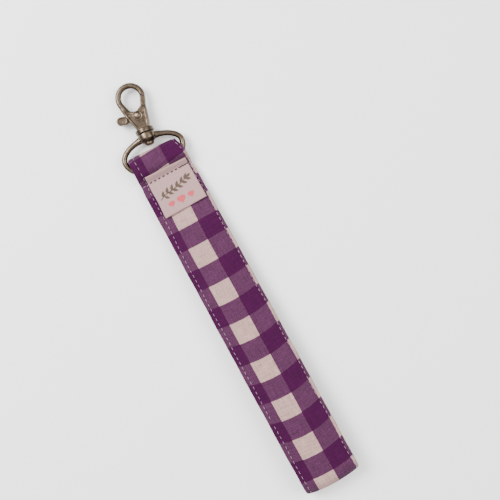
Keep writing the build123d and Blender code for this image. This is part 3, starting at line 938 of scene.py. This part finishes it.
def sprig():
    """A stalk with a pair of leaves at each node and one at its tip."""
    stem = [(-7.4, -8.9), (-4.2, -7.6), (-0.6, -7.2), (3.2, -6.4), (7.6, -5.0)]
    nodes = [(-5.9, -8.3), (-3.6, -7.5), (-1.2, -7.25), (1.4, -6.9), (3.9, -6.2), (6.1, -5.55)]
    shapes = [stalk(stem, 0.46)]
    for k, (x, y) in enumerate(nodes):
        shapes.append(leaf((x, y), math.radians(66 - 3 * k), 3.0, 1.35))
        shapes.append(leaf((x + 0.6, y + 0.1), math.radians(-40 + 3 * k), 2.7, 1.25))
    shapes.append(leaf((7.5, -5.05), math.radians(22), 2.3, 1.15))
    return shapes


def woven_motif(band, name, shapes):
    """Flat shapes laid on the label's face: each grid of (x, y) points takes the face's height, with a
    skin's thickness below it."""
    parts = []
    for shape in shapes:
        x, y = shape[..., 0], shape[..., 1]
        t = (x - LABEL_LEFT) / LABEL_WIDE
        top = label_sheet(band, t, y, band.cloth.label_thick + 0.045)
        top[..., 0], top[..., 1] = x, y + SEAM_Y
        low = top.copy()
        low[..., 2] -= 0.12
        loop = np.concatenate([top, low[:, ::-1]], axis=1)
        u = np.concatenate([x, x[:, ::-1], x[:, :1]], axis=1)
        v = np.concatenate([y, y[:, ::-1], y[:, :1]], axis=1)
        parts.append(facing_out(lattice(loop, wrap_columns=True, uv=np.stack([u, v], -1), caps=True)))
    return surface(name, parts)


class WRISTLET_OT_label(bpy.types.Operator):
    """Build the folded cotton label with its woven sprig and hearts"""

    bl_idname = "wristlet.label"
    bl_label = "Label"

    def execute(self, context):
        cloth = measures(context.scene.wristlet_cloth)
        band = Band(cloth)
        tape = tape_material(cloth)
        hem = label_part(band, "label_top_fold", LABEL_FOLD, LABEL_TOP, True)
        finished(hem, "strap_base", "label", tape, "label_hem")
        flap = label_part(band, "label_flap_cloth", LABEL_LOW, LABEL_FOLD, False)
        _, hinge_y, hinge_z = joint_place("label_lift")
        finished(flap, "front_upper", "label", tape, "label_flap",
                 bend=("label", (0, hinge_y + 0.4, hinge_z), (0, hinge_y - 2.6, hinge_z)))
        brown = ink_material("woven_brown", cloth.brown_ink)
        pink = ink_material("woven_pink", cloth.pink_ink)
        finished(woven_motif(band, "label_sprig", sprig()), "label", "label", brown)
        hearts = [heart((x, -12.6), wide) for x, wide in ((-3.8, 3.0), (1.0, 4.0), (5.8, 3.0))]
        finished(woven_motif(band, "label_hearts", hearts), "label", "label", pink)
        return {"FINISHED"}


# Clasp. It is drawn flat, in millimetres: u to the right, v along the swivel axis from the ring's bar, and
# w up.

RING_HALF, RING_CORNER, RING_TOP = 13.7, 6.2, 13.05
EYE_V, EYE_R, OPENING_R = 32.0, 6.7, 4.2
OPENING_LOW_V, OPENING_LOW_R = 28.4, 3.0
SHANK_V, SHANK_R = 18.2, 3.1
CHEEK_HALF = 2.6  # half of the hook's thickness at its shank
EYE_THINNER = 1.18  # how much less that is at the eye
SLOT_HALF, SLOT_LOW_V, SLOT_SHOULDER_V = 1.4, 19.2, 25.8
TIP_CUT_U, TIP_CUT_V, TIP_SLOPE = 5.3, 31.2, 0.62
GATE_U = 1.5  # the gate closes the eye right of here
GATE_REACH = 9.4  # from the gate's pivot, so that its end turns past the hook's tip
LEVER_HALF, LEVER_W = 0.6, 0.6  # of the lever's arm and hub in the slot: half thickness, and middle
TAB_AT = (-8.0, 23.9)


def clasp_place(points):
    """Points drawn flat as (u, v, w) in the clasp's own plane, moved to where the clasp hangs."""
    w_axis = np.array([0.0, 0.0, 1.0])
    return CLASP_AT + points[..., :1] * CLASP_U + points[..., 1:2] * CLASP_V + points[..., 2:] * w_axis


def carried(line, radius, sides=40):
    """A round wire: a circle of changing radius carried round a closed flat line in the (u, v) plane."""
    angle = np.linspace(0, 2 * np.pi, sides, endpoint=False)
    step = np.roll(line, -1, 0) - np.roll(line, 1, 0)
    step = step / np.linalg.norm(step, axis=1, keepdims=True)
    side = np.stack([step[:, 1], -step[:, 0]], 1)
    flat = line[:, None] + side[:, None] * (radius[:, None] * np.cos(angle))[..., None]
    up = radius[:, None] * np.sin(angle)
    return np.concatenate([flat, up[..., None]], -1)


def turned(profile, sides=72):
    """A solid of revolution about the clasp's v axis, from (radius, v) points, its ends on the axis."""
    profile = np.array(profile, float)
    angle = np.linspace(0, 2 * np.pi, sides, endpoint=False)[None, :]
    r, v = profile[:, :1], profile[:, 1:]
    return np.stack(np.broadcast_arrays(r * np.sin(angle), v, r * np.cos(angle)), -1)


def rounded(profile, radius, steps=5):
    """A profile of (radius, v) corners with each inner corner rounded by a parabola that touches both
    sides."""
    profile = [np.array(p, float) for p in profile]
    out = [profile[0]]
    for a, b, c in zip(profile, profile[1:], profile[2:]):
        reach = min(radius, 0.45 * np.linalg.norm(b - a), 0.45 * np.linalg.norm(c - b))
        p = b + (a - b) / np.linalg.norm(a - b) * reach
        q = b + (c - b) / np.linalg.norm(c - b) * reach
        t = np.linspace(0, 1, steps)[:, None]
        out.extend((1 - t) ** 2 * p + 2 * t * (1 - t) * b + t ** 2 * q)
    out.append(profile[-1])
    return np.array(out)


def soft_min(a, b, k):
    """The nearer of two distances. Where they differ by less than k it is a blend of both, less k times the
    product of their shares, which makes a fillet."""
    h = np.clip(0.5 + 0.5 * (b - a) / k, 0, 1)
    return b + (a - b) * h - k * h * (1 - h)


def soft_max(a, b, k):
    """The further of two distances, with a round of about k where they meet."""
    return -soft_min(-a, -b, k)


def circle(u, v, cu, cv, r):
    """Distance to a circle: from its centre, less its radius."""
    return np.hypot(u - cu, v - cv) - r


def segment(u, v, a, b, r):
    """Distance to a straight bar with round ends: from the nearest point between a and b, less its
    radius."""
    au, av = a
    bu, bv = b
    t = np.clip(((u - au) * (bu - au) + (v - av) * (bv - av)) / ((bu - au) ** 2 + (bv - av) ** 2), 0, 1)
    return np.hypot(u - au - t * (bu - au), v - av - t * (bv - av)) - r


def drop_shape(u, v, low, r_low, high, r_high):
    """Distance to a drop: to the lower circle, the upper circle or the straight side that touches both, by
    which of them a point is square to."""
    x, y, gap = np.abs(u), v - low, high - low
    b = (r_low - r_high) / gap
    a = math.sqrt(1 - b * b)
    k = -b * x + a * y
    side = a * x + b * y - r_low
    below = np.hypot(x, y) - r_low
    above = np.hypot(x, y - gap) - r_high
    return np.where(k < 0, below, np.where(k > a * gap, above, side))


def plate(flat, w, half, edge):
    """A flat shape made thick, its rims rounded by edge: the length of the two distances past a shape that
    is smaller by edge, less edge."""
    a, b = flat + edge, np.abs(w) - half + edge
    return np.minimum(np.maximum(a, b), 0) + np.hypot(np.maximum(a, 0), np.maximum(b, 0)) - edge


def casting(name, low, high, grain, field):
    """A cast piece: the surface where a field of distances, worked out on a lattice of points, is zero."""
    axes = [np.arange(a, b + grain, grain, dtype=np.float32) for a, b in zip(low, high)]
    u, v, w = np.meshgrid(*axes, indexing="ij")
    grid = openvdb.FloatGrid(2.0)
    grid.copyFromArray(np.clip(field(u, v, w), -2, 2).astype(np.float32))
    points, quads = grid.convertToQuads(0.0)
    flat = np.array(points) * grain + np.array(low)
    return surface(name, [(clasp_place(flat), np.array(quads), None)])


def hook_outline(u, v):
    """The hook's outline: a drop, its sides swept a little to the left half way up."""
    sweep = 0.35 * np.exp(-(((v - 26.0) / 4.0) ** 2))
    return drop_shape(u + sweep, v, SHANK_V, SHANK_R, EYE_V, EYE_R)


def hook_opening(u, v):
    """The eye's opening: a smaller drop."""
    return drop_shape(u, v, OPENING_LOW_V, OPENING_LOW_R, EYE_V, OPENING_R)


def gate_side(u, v, gap):
    """Below zero right of the axis and below the slanting cut where the gate meets the hook's tip."""
    slant = (v - (TIP_CUT_V - gap) + TIP_SLOPE * (u - TIP_CUT_U)) / math.hypot(1, TIP_SLOPE)
    return np.maximum(slant, GATE_U - u)


def hook_field(u, v, w):
    """The hook: the outline less the opening as a plate that thins towards the eye, with sunk faces, a boss
    and a ditch round the gate's rivet, a slot for the lever, the gate's place cut out, and a round
    collar."""
    outline, opening = hook_outline(u, v), hook_opening(u, v)
    wall = np.maximum(outline, -opening)
    thinning = smooth(24.0, 28.8, v)
    half = CHEEK_HALF - EYE_THINNER * thinning
    body = plate(wall, w, half, 0.5 + 0.62 * thinning)
    panel = np.maximum(np.maximum(outline + 1.05, -(opening - 1.15)), np.maximum(18.3 - v, v - 25.4))
    sunk = np.maximum(panel, half - 0.34 - np.abs(w))
    body = soft_max(body, -sunk, 0.25)
    boss = plate(circle(u, v, 0, PIVOT_V, 2.05), w, 2.42, 0.2)
    body = soft_min(body, boss, 0.2)
    ditch = np.hypot(circle(u, v, 0, PIVOT_V, 1.62), np.abs(w) - 2.5) - 0.17
    body = np.maximum(body, -ditch)
    slot_right, slot_left = np.maximum(-2.2 - u, v - 27.6), np.maximum(v - SLOT_SHOULDER_V, u + 2.0)
    slot_flat = np.maximum(SLOT_LOW_V - v, np.minimum(slot_right, slot_left))
    body = soft_max(body, -np.maximum(slot_flat, np.abs(w) - SLOT_HALF), 0.15)
    above_cheeks = np.maximum(26.6 - v + 0.1 * (u - 4), gate_side(u, v, 0.0))
    body = soft_max(body, -above_cheeks, 0.35)
    collar = plate(np.hypot(u, w) - 4.15, v - 16.15, 0.95, 0.25)
    return soft_min(body, collar, 0.12)


def gate_field(u, v, w):
    """The gate lever: the eye's wall right of the axis, an arm and hub in the slot, and the dished thumb
    tab."""
    wall = np.maximum(hook_outline(u, v), -hook_opening(u, v))
    turning = circle(u, v, 0, PIVOT_V, GATE_REACH)
    flat = np.maximum(np.maximum(np.maximum(wall, gate_side(u, v, 0.17)), turning), 26.0 - v)
    bar = plate(flat, w, 1.2, 0.35)
    arm_flat = np.maximum(segment(u, v, (0.2, PIVOT_V + 0.2), (4.2, 26.5), 1.5), hook_outline(u, v) + 0.12)
    arm = plate(arm_flat, w - LEVER_W, LEVER_HALF, 0.15)
    hub = plate(circle(u, v, 0, PIVOT_V, 2.25), w - LEVER_W, LEVER_HALF, 0.15)
    neck = plate(segment(u, v, (-0.6, PIVOT_V - 1.0), (-6.6, 22.9), 0.95), w - 0.45, LEVER_HALF, 0.25)
    tab = plate(segment(u, v, TAB_AT, (-6.6, 23.7), 1.9), w, 1.5, 0.5)
    dish = segment(u, v, TAB_AT, (-6.9, 23.75), 1.3)
    tab = soft_max(tab, -np.maximum(dish, 1.24 - np.abs(w)), 0.3)
    body = soft_min(soft_min(bar, arm, 0.3), hub, 0.2)
    body = soft_min(soft_min(body, neck, 0.3), tab, 0.35)
    return np.maximum(body, -(np.hypot(u, v - PIVOT_V) - 0.9))


def ring_line(count=360):
    """The ring's middle line: straight bar, round corners and an oval top, evenly spaced."""
    half_bar = RING_HALF - RING_CORNER
    bar = np.stack([np.linspace(-half_bar, half_bar, 60), np.zeros(60)], 1)
    a = np.linspace(-np.pi / 2, 0, 60)
    right = np.stack([half_bar + RING_CORNER * np.cos(a), RING_CORNER + RING_CORNER * np.sin(a)], 1)
    b = np.linspace(0, np.pi, 200)
    oval = np.stack([RING_HALF * np.cos(b), RING_CORNER + (RING_TOP - RING_CORNER) * np.sin(b)], 1)
    left = right[::-1] * (-1, 1)
    closed = np.vstack([bar, right[1:], oval[1:], left[1:-1], bar[:1]])
    at = np.concatenate([[0], np.cumsum(np.linalg.norm(np.diff(closed, axis=0), axis=1))])
    even = np.linspace(0, at[-1], count, endpoint=False)
    return np.stack([np.interp(even, at, closed[:, 0]), np.interp(even, at, closed[:, 1])], 1)


def casting_metal(context):
    """The antique finish of the cast pieces, made once."""
    return bpy.data.materials.get("antique_casting") or metal_material(
        measures(context.scene.wristlet_metal), "antique_casting", 0.0)


def wire_metal(context):
    """The same finish on drawn wire, a little smoother, made once."""
    return bpy.data.materials.get("antique_wire") or metal_material(
        measures(context.scene.wristlet_metal), "antique_wire", 0.05)


class WRISTLET_OT_ring(bpy.types.Operator):
    """Build the ring with its hub"""

    bl_idname = "wristlet.ring"
    bl_label = "Ring"

    def execute(self, context):
        line = ring_line()
        near_hub = np.exp(-((line[:, 0] / 5.2) ** 4)) * (line[:, 1] > 8)
        wire = carried(line, measures(context.scene.wristlet_metal).wire + 0.45 * near_hub)
        hub = rounded([(0.0, 12.1), (2.6, 12.1), (2.6, 11.0), (3.0, 11.0), (3.85, 12.0), (4.0, 12.5),
                       (4.0, 14.75), (0.0, 14.75)], 0.2)
        parts = [lattice(clasp_place(wire), wrap_rows=True, wrap_columns=True),
                 lattice(clasp_place(turned(hub)), wrap_columns=True, caps=True)]
        ring = surface("ring_and_hub", [facing_out(part) for part in parts])
        finished(ring, "ring", "metal", wire_metal(context), "swivel_ring")
        return {"FINISHED"}


class WRISTLET_OT_hook(bpy.types.Operator):
    """Build the hook and the post that it swivels on"""

    bl_idname = "wristlet.hook"
    bl_label = "Hook"

    def execute(self, context):
        post = rounded([(0.0, 9.4), (1.5, 9.4), (2.1, 9.9), (2.15, 10.8), (1.75, 11.3), (1.6, 11.9),
                        (1.6, 18.0), (0.0, 18.0)], 0.25)
        rivet = surface("swivel_post", [
            facing_out(lattice(clasp_place(turned(post, 48)), wrap_columns=True, caps=True))])
        finished(rivet, "hook", "metal", casting_metal(context), "swivel_rivet")
        grain = measures(context.scene.wristlet_metal).grain
        hook = casting("hook_casting", (-7.6, 14.6, -4.5), (7.4, 39.2, 4.5), grain, hook_field)
        finished(hook, "hook", "metal", casting_metal(context), "hook_body")
        return {"FINISHED"}


class WRISTLET_OT_gate(bpy.types.Operator):
    """Build the gate lever, the rivet that it turns on and its spring's finish"""

    bl_idname = "wristlet.gate"
    bl_label = "Gate"

    def execute(self, context):
        grain = measures(context.scene.wristlet_metal).grain
        gate = casting("gate_casting", (-10.4, 20.6, -1.9), (7.2, 32.2, 1.9), grain, gate_field)
        finished(gate, "gate", "metal", casting_metal(context), "gate_lever")
        profile = rounded([(0.0, -2.62), (1.1, -2.62), (1.15, -2.45), (0.8, -2.4), (0.8, 2.3), (1.45, 2.3),
                           (1.45, 2.60), (1.3, 2.82), (0.8, 3.0), (0.0, 3.06)], 0.2)
        shape = turned(profile, 48)
        upright = np.stack([shape[..., 0], shape[..., 2] + PIVOT_V, shape[..., 1]], -1)
        rivet = surface("gate_pivot_rivet", [
            facing_out(lattice(clasp_place(upright), wrap_columns=True, caps=True))])
        finished(rivet, "hook", "metal", casting_metal(context), "gate_rivet")
        spring = frame["nodes"]["gate_spring"]
        spring.data.materials.clear()
        spring.data.materials.append(wire_metal(context))
        return {"FINISHED"}


# Stage

FLOOR_HALF = 1500.0
FLOOR_DROP = 0.02  # so that the floor and the cloth that lies on it don't share a face
AIM_X, AIM_BACK = 16.6, 47.0  # what the camera looks down on: beside the band, back from the seam
LAMPS = (("key_light", (-0.30, 0.42, 0.58), 12.0, 0.4), ("fill_light", (0.55, -0.1, 0.7), 6.0, 0.5))
WORLD_RISE = (0.12, 0.90, 0.16, 1.85)  # heights in the sky, and its strength below and above them
WORLD_COLOUR = (1.0, 0.985, 0.97, 1.0)


class WRISTLET_OT_stage(bpy.types.Operator):
    """Lay the pale floor, hang soft lights and set the camera straight above"""

    bl_idname = "wristlet.stage"
    bl_label = "Stage"

    def execute(self, context):
        stage = measures(context.scene.wristlet_stage)
        scene = context.scene
        side = np.linspace(-FLOOR_HALF, FLOOR_HALF, 3)
        x, y = np.meshgrid(side, side, indexing="xy")
        floor = surface("floor", [lattice(np.stack([x, y, np.full_like(x, -FLOOR_DROP)], -1))])
        n = Nodes("floor")
        paper = n.noise(n.node("ShaderNodeTexCoord").outputs["Object"], 60.0, 3.0)
        tone = tuple(stage.floor)
        floor.data.materials.append(n.set(
            Base_Color=n.mix(paper, tone, tuple(0.985 * c for c in tone)), Roughness=0.9))
        scene.world = self.sky()
        for name, place, power, width in LAMPS:
            self.lamp(scene, name, place, power, width)
        self.camera(scene, stage)
        return {"FINISHED"}

    def sky(self):
        """A soft grey sky, its strength rising evenly from near the horizon to near overhead."""
        world = bpy.data.worlds.new("studio")
        world.use_nodes = True
        tree = world.node_tree
        way = tree.nodes.new("ShaderNodeTexCoord")
        parts = tree.nodes.new("ShaderNodeSeparateXYZ")
        tree.links.new(way.outputs["Generated"], parts.inputs[0])
        rise = tree.nodes.new("ShaderNodeMapRange")
        for value, socket in zip(WORLD_RISE, list(rise.inputs)[1:5]):
            socket.default_value = value
        tree.links.new(parts.outputs["Z"], rise.inputs[0])
        tree.links.new(rise.outputs[0], tree.nodes["Background"].inputs["Strength"])
        tree.nodes["Background"].inputs["Color"].default_value = WORLD_COLOUR
        return world

    def lamp(self, scene, name, place, power, width):
        """A soft square lamp at a place in metres, tipped from straight down until it shines on the
        origin."""
        data = bpy.data.lights.new(name, "AREA")
        data.energy, data.size = power, width
        lamp = bpy.data.objects.new(name, data)
        scene.collection.objects.link(lamp)
        lamp.location = place
        x, y, z = place
        lamp.rotation_euler = (math.atan2(math.hypot(x, y), z), 0.0, math.atan2(-y, -x) - math.pi / 2)

    def camera(self, scene, stage):
        """The camera looks straight down on a point beside the band's middle, its lens set by similar
        triangles so that the field fits its sensor."""
        data = bpy.data.cameras.new("camera")
        data.sensor_width = 36.0
        data.lens = 36.0 * (stage.height - CLASP_AT[2]) / stage.field
        data.clip_start, data.clip_end = 0.01, 10.0
        camera = bpy.data.objects.new("camera", data)
        scene.collection.objects.link(camera)
        camera.location = (AIM_X * MM, (SEAM_Y - AIM_BACK) * MM, stage.height * MM)
        camera.rotation_euler = (0.0, 0.0, stage.turn)
        scene.camera = camera


class WRISTLET_PT_panel(bpy.types.Panel):
    """The wristlet's sizes, colours and pieces"""

    bl_idname = "WRISTLET_PT_panel"
    bl_label = "Wristlet keychain"
    bl_space_type = "VIEW_3D"
    bl_region_type = "UI"
    bl_category = "Wristlet"

    def draw(self, context):
        """Every size and colour, then a button for each operator."""
        for name, group in GROUPS.items():
            for key in group.__annotations__:
                self.layout.prop(getattr(context.scene, name), key)
        for operator in OPERATORS:
            self.layout.operator(operator.bl_idname)


GROUPS = {"wristlet_cloth": WristletCloth, "wristlet_metal": WristletMetal, "wristlet_stage": WristletStage}
OPERATORS = (WRISTLET_OT_stage, WRISTLET_OT_band, WRISTLET_OT_stitches, WRISTLET_OT_label, WRISTLET_OT_ring,
             WRISTLET_OT_hook, WRISTLET_OT_gate)
CLASSES = (*GROUPS.values(), *OPERATORS, WRISTLET_PT_panel)


def register():
    """Add the groups, operators and panel to Blender."""
    for item in CLASSES:
        bpy.utils.register_class(item)
    for name, group in GROUPS.items():
        setattr(bpy.types.Scene, name, bpy.props.PointerProperty(type=group))


def unregister():
    """Take them away again, last first."""
    for name in GROUPS:
        delattr(bpy.types.Scene, name)
    for item in reversed(CLASSES):
        bpy.utils.unregister_class(item)


def main():
    """Build the whole wristlet."""
    register()
    bpy.ops.wristlet.stage()
    bpy.ops.wristlet.band()
    bpy.ops.wristlet.stitches()
    bpy.ops.wristlet.label()
    bpy.ops.wristlet.ring()
    bpy.ops.wristlet.hook()
    bpy.ops.wristlet.gate()


if __name__ == "__main__":
    main()
